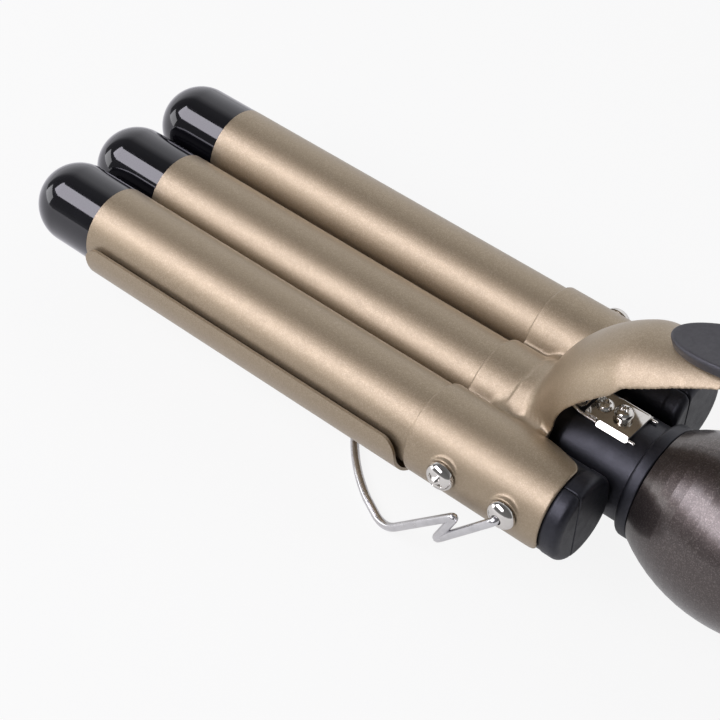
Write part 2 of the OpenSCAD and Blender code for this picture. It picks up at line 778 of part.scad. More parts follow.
module handle_half(side) {
    difference() {
        union() {
            difference() {
                handle_outer();
                handle_cavity();
            }
            intersection() {
                handle_inside();
                handle_outer();
            }
        }
        panel_hole(seat_gap);
        for (b = bosses) {
            along_y(b[0], b[1], -cut, boss_screw_half + 1, boss_screw_r);
            along_y(b[0], b[1], -cut, boss_head_t - boss_screw_half, boss_head_r);
        }
        translate([handle_rear - 1, side > 0 ? -cut : 0, -cut]) cube([handle_len + 2, cut, 2 * cut]);
    }
}

module handle_shell_left() { color([0.27, 0.21, 0.2]) handle_half(1); }
module handle_shell_right() { color([0.27, 0.21, 0.2]) handle_half(-1); }

module handle_screws() {
    color("silver") for (b = bosses) {
        along_y(b[0], b[1], -boss_screw_half, boss_screw_half, boss_screw_r - seat_gap);
        along_y(b[0], b[1], -boss_screw_half, boss_head_t - boss_screw_half - seat_gap,
                boss_head_r - seat_gap);
    }
}

// Buttons and their panel
module button_hole(x, r) {
    translate([x, 0, board_top]) cylinder(r = r, h = cut);
}

module button_panel() {
    color([0.1, 0.1, 0.11]) difference() {
        intersection() {
            panel_hole(0);
            translate([panel_front - panel_len, -panel_w, panel_top - panel_t])
                cube([panel_len, 2 * panel_w, panel_t]);
        }
        button_hole(power_x, power_d / 2);
        for (x = [plus_x, minus_x]) button_hole(x, step_d / 2);
        translate([lens_x, 0, board_top]) linear_extrude(cut) stadium(lens_len, lens_w);
    }
}

module display_lens() {
    color([0.6, 0.1, 0.1]) translate([lens_x, 0, panel_top - panel_t]) linear_extrude(panel_t + 0.2)
        stadium(lens_len - 2 * seat_gap, lens_w - 2 * seat_gap);
}

module button(x, d) {
    flange_top = panel_top - panel_t - seat_gap;
    translate([x, 0, 0]) {
        translate([0, 0, flange_top - eps])
            cylinder(r = d / 2 - running_gap, h = panel_top + button_proud - flange_top + eps);
        translate([0, 0, flange_top - button_flange_t])
            cylinder(r = d / 2 + button_flange_lap, h = button_flange_t);
        translate([0, 0, stem_bottom]) cylinder(r = stem_r, h = flange_top - stem_bottom);
    }
}

module power_button() { color("silver") button(power_x, power_d); }
module plus_button() { color([0.1, 0.1, 0.11]) button(plus_x, step_d); }
module minus_button() { color([0.1, 0.1, 0.11]) button(minus_x, step_d); }

module circuit_board() {
    color("green") translate([board_rear, -board_half_w, board_top - board_t])
        cube([board_front - board_rear, 2 * board_half_w, board_t]);
}

module tact_switches() {
    color("dimgray") for (x = [power_x, plus_x, minus_x]) translate([x, 0, board_top]) {
        translate([0, 0, switch_h / 2]) cube([switch_w, switch_w, switch_h], center = true);
        translate([0, 0, switch_h - eps]) cylinder(r = plunger_r, h = plunger_h + eps);
    }
}

module thermal_fuse() {
    fuse_r = 2;
    color("silver") along_x(hinge_x - 16, 0, -middle_drop - neck_bore_r + fuse_r + 0.1)
        cylinder(r = fuse_r, h = 12);
}

// Rear cap and the gland that turns in it
module rear_cap() {
    color([0.1, 0.1, 0.11]) difference() {
        union() {
            along_x(cap_rear, 0, -middle_drop) cylinder(r = grip_end_r, h = cap_len - seat_gap);
            along_x(handle_rear - 1, 0, -middle_drop) cylinder(r = cap_spigot_r, h = cap_spigot_len + 1);
        }
        along_x(cap_rear - 1, 0, -middle_drop)
            cylinder(r = gland_r + running_gap, h = cap_len + cap_spigot_len + 2);
    }
}

module swivel_gland() {
    flange_x = handle_rear + cap_spigot_len + rest_gap;
    color([0.1, 0.1, 0.11]) difference() {
        union() {
            along_x(gland_rear, 0, -middle_drop) cylinder(r = gland_r, h = flange_x - gland_rear + eps);
            along_x(flange_x, 0, -middle_drop) cylinder(r = gland_flange_r, h = gland_flange_t);
        }
        along_x(gland_rear - 1, 0, -middle_drop) cylinder(r = inlet_d / 2, h = cut);
    }
}

// Spring bracket: a plate on the neck with flanges turned down at its rear half
module spring_bracket() {
    color("silver") difference() {
        union() {
            translate([bracket_rear, -bracket_half, bracket_z])
                cube([bracket_front - bracket_rear, 2 * bracket_half, bracket_t]);
            for (s = [-1, 1])
                translate([bracket_rear, s > 0 ? bracket_half - bracket_t : -bracket_half,
                           bracket_z - flange_drop])
                    cube([flange_front - bracket_rear, bracket_t, flange_drop + eps]);
        }
        for (x = bracket_screw_x) translate([x, 0, bracket_z - 1]) cylinder(r = 1.2, h = 3);
    }
}

module bracket_screws() {
    head_z = bracket_z + bracket_t + seat_gap;
    color("silver") for (x = bracket_screw_x) translate([x, 0, 0]) {
        translate([0, 0, head_z]) dome(5, 1.7);
        translate([0, 0, -middle_drop + neck_bore_r + 0.4])
            cylinder(r = 1.1, h = head_z + middle_drop - neck_bore_r - 0.4 + eps);
    }
}

// Half of the spring's centre line: rear end, coil, leg up to the lever's underside
coil_y_end = spring_y - (spring_turns + 0.25) * spring_pitch;
spring_touch = arch_crest(spring_touch_slope)
    - (sheet_t + rest_gap + spring_wire / 2) * [sin(spring_touch_slope), cos(spring_touch_slope)];
spring_half = concat(
    [[spring_tail, spring_y, spring_leg_z], [bracket_front + 0.4, spring_y, spring_leg_z]],
    [for (i = [0 : (spring_turns + 0.25) * turn_steps]) let (t = i / turn_steps, a = 360 * t)
        [spring_x + spring_r * sin(a), spring_y - spring_pitch * t, spring_z - spring_r * cos(a)]],
    [[spring_x + spring_r - 1.2, coil_y_end, spring_z + 1.2 * spring_r],
     [spring_touch[0] + 0.6, coil_y_end, spring_touch[1] - 1.2],
     [spring_touch[0], coil_y_end - 0.4, spring_touch[1]]]);
spring_path = concat(spring_half,
    [for (i = [len(spring_half) - 1 : -1 : 0]) [spring_half[i][0], -spring_half[i][1], spring_half[i][2]]]);

function unit(v) = v / norm(v);
function path_dir(p, i) = unit(p[min(i + 1, len(p) - 1)] - p[max(i - 1, 0)]);

// Round tube along a path; every ring is built on the direction that the path has there
module tube_along(p, r, sides) {
    rings = [for (i = [0 : len(p) - 1])
        let (d = path_dir(p, i),
             helper = abs(d[1]) > 0.9 ? [1, 0, 0] : [0, 1, 0],
             u = unit(cross(d, helper)), v = cross(d, u))
        [for (k = [0 : sides - 1]) p[i] + r * (cos(360 * k / sides) * u + sin(360 * k / sides) * v)]];
    n = len(p);
    faces = concat(
        [[for (k = [0 : sides - 1]) k]],
        [for (i = [0 : n - 2], k = [0 : sides - 1])
            [i * sides + k, (i + 1) * sides + k, (i + 1) * sides + (k + 1) % sides, i * sides + (k + 1) % sides]],
        [[for (k = [sides - 1 : -1 : 0]) (n - 1) * sides + k]]);
    polyhedron([for (ring = rings) each ring], faces, convexity = 10);
}

module jaw_spring() {
    color("gray") tube_along(spring_path, spring_wire / 2, spring_sides);
}

// Wire stand: ends in the pivot pins, kinked legs, and a foot of three round bends
module stand_wire() {
    color("silver") tube_along(stand_path, wire_r, wire_sides);
}

at_origin() handle_shell_left();
at_origin() handle_shell_right();
at_origin() handle_screws();
at_origin() neck_housing();
at_origin() collar_ring();
at_origin() rear_cap();
at_origin() button_panel();
at_origin() display_lens();
at_origin() circuit_board();
at_origin() tact_switches();
at_origin() thermal_fuse();
at_origin() middle_barrel();
at_origin() middle_tip();
at_origin() middle_heater();
at_origin() middle_ptc();
at_origin() wave_plate();
at_origin() plate_rivets();
at_origin() spring_bracket();
at_origin() bracket_screws();
at_origin() jaw_spring();
at_origin() pivot_pins();
at_origin() jaw_yoke();
at_origin() left_barrel();
at_origin() right_barrel();
at_origin() left_tip();
at_origin() right_tip();
at_origin() left_plug();
at_origin() right_plug();
at_origin() left_heater();
at_origin() right_heater();
at_origin() left_ptc();
at_origin() right_ptc();
at_origin() sleeve_screws();
at_origin() thumb_tab();
at_origin() tab_screws();
at_origin() stand_wire();
at_origin() power_button();
at_origin() plus_button();
at_origin() minus_button();
at_origin() swivel_gland();
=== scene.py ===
"""Looks of the hair waver: camera, materials, finer pieces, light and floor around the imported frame."""

import json
import math

import bmesh
import bpy
import numpy as np
from mathutils import Matrix, Vector


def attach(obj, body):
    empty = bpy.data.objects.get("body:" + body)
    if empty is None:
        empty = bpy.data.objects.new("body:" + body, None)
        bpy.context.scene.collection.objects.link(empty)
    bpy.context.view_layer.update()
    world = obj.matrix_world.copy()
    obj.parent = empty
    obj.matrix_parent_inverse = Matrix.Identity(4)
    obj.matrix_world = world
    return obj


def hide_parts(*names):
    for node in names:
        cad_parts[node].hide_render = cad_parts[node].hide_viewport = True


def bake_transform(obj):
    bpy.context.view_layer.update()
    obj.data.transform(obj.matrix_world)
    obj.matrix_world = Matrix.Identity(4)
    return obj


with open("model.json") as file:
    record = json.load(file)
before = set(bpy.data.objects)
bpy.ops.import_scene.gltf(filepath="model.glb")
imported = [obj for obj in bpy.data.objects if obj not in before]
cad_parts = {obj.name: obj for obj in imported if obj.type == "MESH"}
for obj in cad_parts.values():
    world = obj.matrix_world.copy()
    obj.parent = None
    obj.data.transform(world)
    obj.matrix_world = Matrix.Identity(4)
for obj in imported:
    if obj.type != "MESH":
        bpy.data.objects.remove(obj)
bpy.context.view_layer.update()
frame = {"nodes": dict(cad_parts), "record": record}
nodes = frame["nodes"]
scene = bpy.context.scene
scene.view_settings.view_transform = "Standard"

MM = 0.001

# The tool's own frame, in millimetres: X = 0 at the outer tip seams, Z = 0 on the outer barrels' axes.
# The row frame's origin lies at CENTRE_X and BASE_Z in it.
CENTRE_X = -161.25
BASE_Z = -27.9

# Shared with the source: barrels, yoke, hinge, neck and wire
PITCH = 26.482
DROP = 2.5
BARREL_R = 12.5
YOKE_FRONT = -121.0
YOKE_REAR = -165.5
COVER_REAR = -134.0
HINGE = (-154.6, 0.0, 1.6)
SHEET = 0.9
SLEEVE_R = BARREL_R + 0.1 + SHEET
COVER_R = BARREL_R + 0.4 + SHEET
SCREW_X = YOKE_FRONT - 13.4
HEAD_SEAT_Y = PITCH + SLEEVE_R + 0.05
PIN_HEAD_H = 2.1
NECK_R = 14.7
COLLAR_FRONT = YOKE_REAR - 8.6
HANDLE_FRONT = YOKE_REAR - 13.0
BRACKET_Z = -DROP + NECK_R + 0.2
WIRE_R = 1.25

# The scene's own: larger heads that stand off their seats, and a slightly smaller collar
HEAD_D = 8.6
HEAD_H = 2.7
HEAD_GAP = 0.55
COLLAR_R = 17.1


# ---------------------------------------------------------------- camera

CAMERA_AT = (-0.17103, 0.33738, 0.41473)
CAMERA_LOOK = (0.43649, -0.57023, -0.69593)
CAMERA_RIGHT = (-0.76323, -0.64425, 0.04919)
FOCAL_PIXELS = 1989.64
PICTURE_PIXELS = 720.0
SENSOR = 36.0


def add_camera():
    """The photograph's view, fitted to the barrels, the heads and the handle."""
    look = Vector(CAMERA_LOOK)
    right = Vector(CAMERA_RIGHT).normalized()
    up = right.cross(look).normalized()
    data = bpy.data.cameras.new("camera")
    data.sensor_width = SENSOR
    data.lens = SENSOR * FOCAL_PIXELS / PICTURE_PIXELS
    data.clip_start = 0.01
    cam = bpy.data.objects.new("camera", data)
    turn = Matrix((right, up, -look)).transposed().to_4x4()
    cam.matrix_world = Matrix.Translation(CAMERA_AT) @ turn
    scene.collection.objects.link(cam)
    scene.camera = cam


add_camera()


# ---------------------------------------------------------------- materials

class Graph:
    """A node tree, with short calls to fill it."""

    def __init__(self, tree):
        self.tree = tree
        tree.nodes.clear()

    def add(self, kind, **values):
        n = self.tree.nodes.new(kind)
        for k, v in values.items():
            setattr(n, k, v)
        return n

    def feed(self, socket, value):
        """Links another node's socket in, or sets a number, a vector or a colour."""
        if isinstance(value, bpy.types.NodeSocket):
            self.tree.links.new(value, socket)
        elif socket.type == "RGBA":
            socket.default_value = (*value, 1)
        else:
            socket.default_value = value

    def ramp(self, fac, stops):
        n = self.add("ShaderNodeValToRGB")
        e = n.color_ramp.elements
        while len(e) < len(stops):
            e.new(0.5)
        for el, (place, tone) in zip(e, stops):
            el.position = place
            el.color = (*tone, 1)
        self.feed(n.inputs[0], fac)
        return n.outputs[0]

    def span(self, fac, low, high, start, end):
        """Turns values from start to end into values from low to high."""
        n = self.add("ShaderNodeMapRange")
        for socket, value in zip(n.inputs, (fac, start, end, low, high)):
            self.feed(socket, value)
        return n.outputs[0]

    def math(self, operation, *values):
        n = self.add("ShaderNodeMath", operation=operation)
        for socket, value in zip(n.inputs, values):
            self.feed(socket, value)
        return n.outputs[0]

    def shader(self, kind, tone):
        n = self.add(kind)
        self.feed(n.inputs[0], tone)
        return n.outputs[0]

    def show(self, kind, fac, first, second):
        """Sends a mix of two shaders to the output node."""
        n = self.add("ShaderNodeMixShader")
        for socket, value in zip(n.inputs, (fac, first, second)):
            self.feed(socket, value)
        self.feed(self.add(kind).inputs[0], n.outputs[0])


class Nodes(Graph):
    """A material with one Principled shader."""

    def __init__(self, name):
        self.mat = bpy.data.materials.new(name)
        self.mat.use_nodes = True
        super().__init__(self.mat.node_tree)
        self.bsdf = self.add("ShaderNodeBsdfPrincipled")
        self.feed(self.add("ShaderNodeOutputMaterial").inputs["Surface"], self.bsdf.outputs[0])
        self.coord = self.add("ShaderNodeTexCoord").outputs["Object"]

    def set(self, **values):
        for k, v in values.items():
            self.feed(self.bsdf.inputs[k.replace("_", " ")], v)

    def noise(self, scale, detail=2.0, rough=0.5, stretch=None):
        n = self.add("ShaderNodeTexNoise")
        for name, value in (("Scale", scale), ("Detail", detail), ("Roughness", rough)):
            n.inputs[name].default_value = value
        place = self.coord
        if stretch:
            m = self.add("ShaderNodeMapping")
            m.inputs["Scale"].default_value = stretch
            self.feed(m.inputs["Vector"], place)
            place = m.outputs[0]
        self.feed(n.inputs["Vector"], place)
        return n.outputs["Fac"]

    def cells(self, scale):
        n = self.add("ShaderNodeTexVoronoi")
        n.inputs["Scale"].default_value = scale
        self.feed(n.inputs["Vector"], self.coord)
        return n

    def mix(self, fac, a, b):
        n = self.add("ShaderNodeMix", data_type="RGBA")
        for socket, value in ((n.inputs[0], fac), (n.inputs[6], a), (n.inputs[7], b)):
            self.feed(socket, value)
        return n.outputs[2]

    def bump(self, *layers):
        """Layers of (height socket, strength, distance in metres), one on the other."""
        last = None
        for height, strength, distance in layers:
            n = self.add("ShaderNodeBump")
            n.inputs["Strength"].default_value = strength
            n.inputs["Distance"].default_value = distance
            self.feed(n.inputs["Height"], height)
            if last is not None:
                self.feed(n.inputs["Normal"], last)
            last = n.outputs[0]
        self.feed(self.bsdf.inputs["Normal"], last)

    def color(self, socket):
        self.feed(self.bsdf.inputs["Base Color"], socket)

    def rough(self, socket):
        self.feed(self.bsdf.inputs["Roughness"], socket)


def champagne():
    """Champagne coat: fine metal flakes in a warm base under a thin clear layer."""
    n = Nodes("champagne_coat")
    n.set(Metallic=0.92, IOR=1.5, Coat_Weight=0.9, Coat_Roughness=0.38, Coat_IOR=1.5)
    flake = n.cells(4600.0)
    tone = n.ramp(flake.outputs["Color"], [(0.0, (0.33, 0.255, 0.165)), (0.6, (0.41, 0.325, 0.22)),
                                          (1.0, (0.53, 0.435, 0.32))])
    drift = n.noise(35.0, 2.0)
    n.color(n.mix(n.span(drift, 0.1, 0.45, 0.35, 0.7), tone, (0.405, 0.32, 0.216)))
    n.rough(n.span(n.noise(900.0, 3.0), 0.48, 0.56, 0.3, 0.7))
    n.bump((flake.outputs["Distance"], 0.06, 0.0001), (n.noise(5200.0, 1.0), 0.05, 0.00008))
    return n.mat


def handle_paint():
    """Dark brown metallic paint with fine flakes under a thin clear layer."""
    n = Nodes("handle_paint")
    n.set(Metallic=0.85, IOR=1.5, Coat_Weight=0.85, Coat_Roughness=0.2, Coat_IOR=1.5)
    flake = n.cells(3600.0)
    tone = n.ramp(flake.outputs["Color"], [(0.0, (0.067, 0.052, 0.049)), (0.6, (0.098, 0.080, 0.075)),
                                          (1.0, (0.22, 0.188, 0.176))])
    n.color(n.mix(n.span(n.noise(700.0, 2.0), 0.1, 0.5, 0.4, 0.7), tone, (0.092, 0.075, 0.070)))
    n.rough(n.span(n.noise(1500.0, 2.0), 0.32, 0.39, 0.3, 0.7))
    n.bump((flake.outputs["Distance"], 0.08, 0.00012), (n.noise(4200.0, 1.0), 0.05, 0.00008))
    return n.mat


def gloss_black():
    """Polished black plastic of the cool tips."""
    n = Nodes("tip_gloss")
    n.set(Metallic=0.0, IOR=1.4)
    n.set(Coat_Weight=0.9, Coat_Roughness=0.035, Coat_IOR=1.48, Coat_Tint=(0.93, 0.92, 1.0))
    n.color(n.mix(n.span(n.noise(60.0, 3.0), 0.0, 1.0, 0.35, 0.65), (0.0035, 0.0035, 0.0045),
                  (0.006, 0.006, 0.0075)))
    n.rough(n.span(n.noise(240.0, 4.0), 0.06, 0.11, 0.3, 0.7))
    n.bump((n.noise(420.0, 1.0), 0.02, 0.0001))
    return n.mat


def satin_black(name, dark, light, low, high, grain, depth):
    """Moulded satin black plastic with a fine eroded grain."""
    n = Nodes(name)
    n.set(Metallic=0.0, IOR=1.55, Specular_Tint=(0.86, 0.87, 1.0))
    n.color(n.mix(n.span(n.noise(900.0, 3.0), 0.0, 1.0, 0.35, 0.65), dark, light))
    n.rough(n.span(n.noise(300.0, 3.0), low, high, 0.3, 0.7))
    n.bump((n.noise(grain, 3.0, 0.65), depth, 0.0001))
    return n.mat


def metal(name, base, low, high, scratch=0.0):
    """Plated or brushed metal with faint wear."""
    n = Nodes(name)
    n.set(Metallic=1.0)
    worn = tuple(c * 0.88 for c in base)
    n.color(n.mix(n.span(n.noise(300.0, 4.0), 0.0, 1.0, 0.4, 0.7), base, worn))
    n.rough(n.span(n.noise(800.0, 4.0), low, high, 0.3, 0.7))
    if scratch:
        n.bump((n.noise(200.0, 2.0, 0.5, (1.0, 14.0, 14.0)), scratch, 0.0001))
    else:
        n.bump((n.noise(500.0, 2.0), 0.02, 0.0001))
    return n.mat


def ceramic():
    """Pale strips of the heaters."""
    n = Nodes("ceramic_strip")
    n.set(IOR=1.5, Coat_Weight=0.3)
    n.color(n.mix(n.span(n.noise(180.0, 3.0), 0.0, 1.0, 0.4, 0.6), (0.84, 0.81, 0.74), (0.76, 0.73, 0.66)))
    n.rough(n.span(n.noise(300.0), 0.3, 0.45, 0.3, 0.7))
    n.bump((n.noise(800.0), 0.05, 0.0001))
    return n.mat


def board():
    """Green circuit board with faint lanes."""
    n = Nodes("board_green")
    n.set(IOR=1.5)
    lanes = n.noise(260.0, 1.0, 0.3, (1.0, 4.0, 1.0))
    n.color(n.ramp(lanes, [(0.48, (0.02, 0.13, 0.05)), (0.52, (0.05, 0.24, 0.10))]))
    n.rough(n.span(n.noise(400.0), 0.35, 0.5, 0.3, 0.7))
    n.bump((lanes, 0.2, 0.0001))
    return n.mat


def red_lens():
    """Dark red window of the display."""
    n = Nodes("red_lens")
    n.set(IOR=1.49, Coat_Weight=0.5, Transmission_Weight=0.35)
    n.color(n.mix(n.span(n.noise(200.0), 0.0, 1.0, 0.4, 0.6), (0.28, 0.015, 0.012), (0.22, 0.010, 0.010)))
    n.rough(n.span(n.noise(300.0), 0.06, 0.12, 0.3, 0.7))
    return n.mat


MAT = {
    "champagne_coat": champagne(),
    "handle_paint": handle_paint(),
    "tip_gloss": gloss_black(),
    "black_plastic": satin_black("black_plastic", (0.006, 0.0063, 0.0085), (0.011, 0.0115, 0.015), 0.36, 0.46,
                                 2600.0, 0.42),
    "tab_plastic": satin_black("tab_plastic", (0.038, 0.0365, 0.039), (0.049, 0.0475, 0.051), 0.38, 0.48,
                               3800.0, 0.10),
    "nickel": metal("nickel", (0.80, 0.775, 0.74), 0.05, 0.12),
    "steel": metal("steel", (0.74, 0.735, 0.75), 0.16, 0.28, 0.08),
    "aluminium_core": metal("aluminium_core", (0.77, 0.77, 0.78), 0.28, 0.42, 0.15),
    "ceramic": ceramic(),
    "board": board(),
    "red_lens": red_lens(),
}


def smooth(obj, degrees=32.0):
    """Smooth shading that keeps edges sharper than the angle."""
    me = obj.data
    for p in me.polygons:
        p.use_smooth = True
    bm = bmesh.new()
    bm.from_mesh(me)
    for e in bm.edges:
        e.smooth = len(e.link_faces) == 2 and e.calc_face_angle(0.0) < math.radians(degrees)
    bm.to_mesh(me)
    bm.free()


def dress(obj, slot):
    """Gives an object the one material of its slot."""
    obj.data.materials.clear()
    obj.data.materials.append(MAT[slot])


SLOT_OF = {s["node"]: s["material_slot"] for s in frame["record"]["subparts"]}
for name, obj in nodes.items():
    dress(obj, SLOT_OF[name])


def new_piece(name, verts, faces, slot, body, replaced=(), shade=32.0):
    """A mesh piece in the row frame, from points in the tool's frame in millimetres; edges up to shade
    degrees are smoothed."""
    points = (np.asarray(verts, float) - (CENTRE_X, 0.0, BASE_Z)) * MM
    me = bpy.data.meshes.new(name)
    me.from_pydata(points.tolist(), [], faces)
    me.update()
    obj = bpy.data.objects.new(name, me)
    scene.collection.objects.link(obj)
    bm = bmesh.new()
    bm.from_mesh(me)
    bmesh.ops.recalc_face_normals(bm, faces=bm.faces)
    bm.to_mesh(me)
    bm.free()
    smooth(obj, shade)
    dress(obj, slot)
    if body:
        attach(obj, body)
    if replaced:
        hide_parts(*replaced)
    return obj


def joined(parts):
    """One list of points and faces out of several."""
    verts, faces = [], []
    for v, f in parts:
        start = len(verts)
        verts += [tuple(p) for p in v]
        faces += [[i + start for i in face] for face in f]
    return verts, faces


# ---------------------------------------------------------------- shapes as distance fields

def rad(a):
    return math.radians(a)


def blend(a, b, t):
    return a + (b - a) * t


def smin(a, b, k):
    """Smaller of two distances, with a fillet of about k between them."""
    h = np.clip(0.5 + 0.5 * (b - a) / k, 0, 1)
    return b + (a - b) * h - k * h * (1 - h)


def smax(a, b, k):
    return -smin(-a, -b, k)


def rmax(a, b, r):
    """Intersection whose edge is rounded to the radius r."""
    return np.minimum(np.maximum(a, b), -r) + np.hypot(np.maximum(a + r, 0), np.maximum(b + r, 0))


def axes(low, high, step):
    """Sample places along X, Y and Z of the box from low to high, shaped to spread into a grid."""
    x, y, z = (np.arange(a, b, step) for a, b in zip(low, high))
    return x[:, None, None], y[None, :, None], z[None, None, :]


def surface_net(field, origin, step):
    """Quads on the zero surface of a sampled field: one point in each cell that the surface crosses."""
    inside = field < 0
    nx, ny, nz = field.shape
    count = np.zeros((nx - 1, ny - 1, nz - 1), np.int8)
    corners = [(a, b, c) for a in (0, 1) for b in (0, 1) for c in (0, 1)]
    for dx, dy, dz in corners:
        count += inside[dx:nx - 1 + dx, dy:ny - 1 + dy, dz:nz - 1 + dz]
    cells = np.argwhere((count > 0) & (count < 8))
    index = -np.ones(count.shape, np.int64)
    index[tuple(cells.T)] = np.arange(len(cells))
    total = np.zeros((len(cells), 3))
    hits = np.zeros(len(cells))
    for p in corners:
        for axis in range(3):
            if p[axis]:
                continue
            q = list(p)
            q[axis] = 1
            fa = field[tuple((cells + p).T)]
            fb = field[tuple((cells + q).T)]
            cross = (fa < 0) != (fb < 0)
            t = np.where(cross, fa / np.where(fa == fb, 1, fa - fb), 0)
            at = np.tile(np.array(p, float), (len(cells), 1))
            at[:, axis] = t
            total[cross] += at[cross]
            hits += cross
    verts = (cells + total / hits[:, None]) * step + origin
    faces = []
    for axis in range(3):
        eu, ev = np.zeros(3, int), np.zeros(3, int)
        eu[(axis + 1) % 3] = 1
        ev[(axis + 2) % 3] = 1
        change = np.zeros_like(inside)
        inner = (slice(1, -1),) * 3
        change[inner] = (inside != np.roll(inside, -1, axis))[inner]
        edges = np.argwhere(change)
        quad = np.stack([index[tuple((edges - eu - ev).T)], index[tuple((edges - ev).T)],
                         index[tuple(edges.T)], index[tuple((edges - eu).T)]], 1)
        turned = ~inside[tuple(edges.T)]
        quad[turned] = quad[turned][:, ::-1]
        faces.append(quad[(quad >= 0).all(1)])
    return verts, np.vstack(faces)


def relax(verts, faces, rounds):
    """Evens out the sampling ripples of a mesh without shrinking it."""
    edges = np.vstack([faces[:, [i, (i + 1) % 4]] for i in range(4)])
    count = np.bincount(edges.ravel(), minlength=len(verts))[:, None]
    for step in (0.5, -0.52) * rounds:
        total = np.zeros_like(verts)
        for c in range(3):
            total[:, c] = (np.bincount(edges[:, 0], verts[edges[:, 1], c], len(verts))
                           + np.bincount(edges[:, 1], verts[edges[:, 0], c], len(verts)))
        verts = verts + step * (total / count - verts)
    return verts


def net(field, x, y, z, step, rounds=3):
    """Even quad mesh of a field sampled on the grid of x, y and z."""
    verts, faces = surface_net(field, (x[0, 0, 0], y[0, 0, 0], z[0, 0, 0]), step)
    return relax(verts, faces, rounds), faces.tolist()


# ---------------------------------------------------------------- yoke: one pressed sheet

# The crest line seen from the side: foot, arch, knee and the straight end that carries the tab
FOOT_R = 5.0
FOOT_SLOPE = 76.0
ARCH_R = 46.9
KNEE_SLOPE = 31.0
KNEE_R = 20.0
TAB_SLOPE = 14.0
LEVER_END_S = 24.8
FOOT_X = COVER_REAR - 0.7
COVER_END_X = FOOT_X - 1.0
CREST_Z = -DROP + COVER_R - 0.05

# Where the sheet ends: the opening behind the cover, the sleeves' lower edges and their rear corner
OPENING_X = YOKE_FRONT - 29.0
OPENING_RAMP = 1.5
OPENING_Y = (16.6, 16.8, PITCH - 4)
OPENING_CORNER_R = 3.0
SLEEVE_WRAP = 8.2
INNER_WRAP = 1.4
SLEEVE_CORNER_R = 5.5
COVER_HALF = 15.5
LEVER_MARGIN = 3.0
EDGE_FILLET = 0.9

# Seats and holes of the chrome heads, and the fillets between the yoke's forms
SEAT_R = 4.7
SEAT_RISE = 0.12
SCREW_HOLE_R = 1.7
PIN_HOLE_R = 2.4
SEAT_FILLET = 0.8
COVER_FILLET = 2.6
FOOT_FILLET_X = (132.0, 139.0, 147.0, 153.0)
FOOT_FILLET = (1.2, 5.0, 5.0, 0.15)
FAR_INSIDE = -9.0

# Half width and depth of the lever's gutter, at places along X
GUTTER_X = (-134.7, -141.0, -151.0, -157.0, -162.0, -167.0, -172.0, -181.0, -188.5)
GUTTER_HALF = (13.75, 15.8, 16.8, 16.8, 16.4, 15.2, 13.8, 10.8, 8.6)
GUTTER_DEPTH = (13.75, 10.8, 11.4, 10.9, 9.9, 8.6, 7.2, 5.1, 3.6)


def foot_crest(a):
    """Crest point on the foot's fillet where the slope is a degrees."""
    return FOOT_X - FOOT_R * math.sin(rad(a)), CREST_Z + FOOT_R * (1 - math.cos(rad(a)))


def arc_from(start, r, a0, a):
    """Point where an arc that starts with slope a0 has the slope a."""
    return (start[0] - r * (math.sin(rad(a0)) - math.sin(rad(a))),
            start[1] + r * (math.cos(rad(a)) - math.cos(rad(a0))))


def arch_crest(a):
    """Crest point on the arch where the slope is a degrees."""
    return arc_from(foot_crest(FOOT_SLOPE), ARCH_R, FOOT_SLOPE, a)


def knee_crest(a):
    """Crest point on the knee where the slope is a degrees."""
    return arc_from(arch_crest(KNEE_SLOPE), KNEE_R, KNEE_SLOPE, a)


def tab_crest(s):
    """Crest point s along the straight end."""
    x, z = knee_crest(TAB_SLOPE)
    return x - s * math.cos(rad(TAB_SLOPE)), z + s * math.sin(rad(TAB_SLOPE))


def even(values, reach=7):
    """Running mean that keeps both ends."""
    padded = np.pad(values, reach, "reflect", reflect_type="odd")
    return np.convolve(padded, np.ones(2 * reach + 1) / (2 * reach + 1), "valid")


def lever_stations():
    """Crest x and z, half width and depth of the lever's gutter, closely spaced from foot to end."""
    crest = [foot_crest(FOOT_SLOPE * t) for t in np.linspace(0, 1, 9)]
    crest += [arch_crest(blend(FOOT_SLOPE, KNEE_SLOPE, t)) for t in np.linspace(0, 1, 33)[1:]]
    crest += [knee_crest(blend(KNEE_SLOPE, TAB_SLOPE, t)) for t in np.linspace(0, 1, 9)[1:]]
    crest += [tab_crest(s) for s in np.linspace(0, LEVER_END_S, 17)[1:]]
    x, z = np.array(crest).T
    half, deep = (even(np.interp(-x, -np.array(GUTTER_X), values))
                  for values in (GUTTER_HALF, GUTTER_DEPTH))
    return np.stack([x, z, half, deep], 1)


def below_crest(gx, gz, stations):
    """For points of the XZ plane: distance under the crest line, and half width and depth there."""
    best = np.full(gx.shape, 1e9)
    depth, half, deep = (np.zeros(gx.shape) for _ in range(3))
    for a, b in zip(stations, stations[1:]):
        d = b[:2] - a[:2]
        length = np.hypot(*d)
        tx, tz = d / length
        t = np.clip(((gx - a[0]) * tx + (gz - a[1]) * tz) / length, 0, 1)
        dist = np.hypot(gx - a[0] - t * d[0], gz - a[1] - t * d[1])
        under = (gx - a[0]) * -tz + (gz - a[1]) * tx > 0
        near = dist < best
        best = np.where(near, dist, best)
        depth = np.where(near, np.where(under, dist, -dist), depth)
        half = np.where(near, blend(a[2], b[2], t), half)
        deep = np.where(near, blend(a[3], b[3], t), deep)
    return depth, half, deep


def lever_field(y, depth, half, deep):
    """Distance to a gutter turned upside down: a round arch through its edges, then straight sides."""
    r = (half ** 2 + deep ** 2) / (2 * deep)
    return np.hypot(y, np.maximum(r - depth, 0)) - r


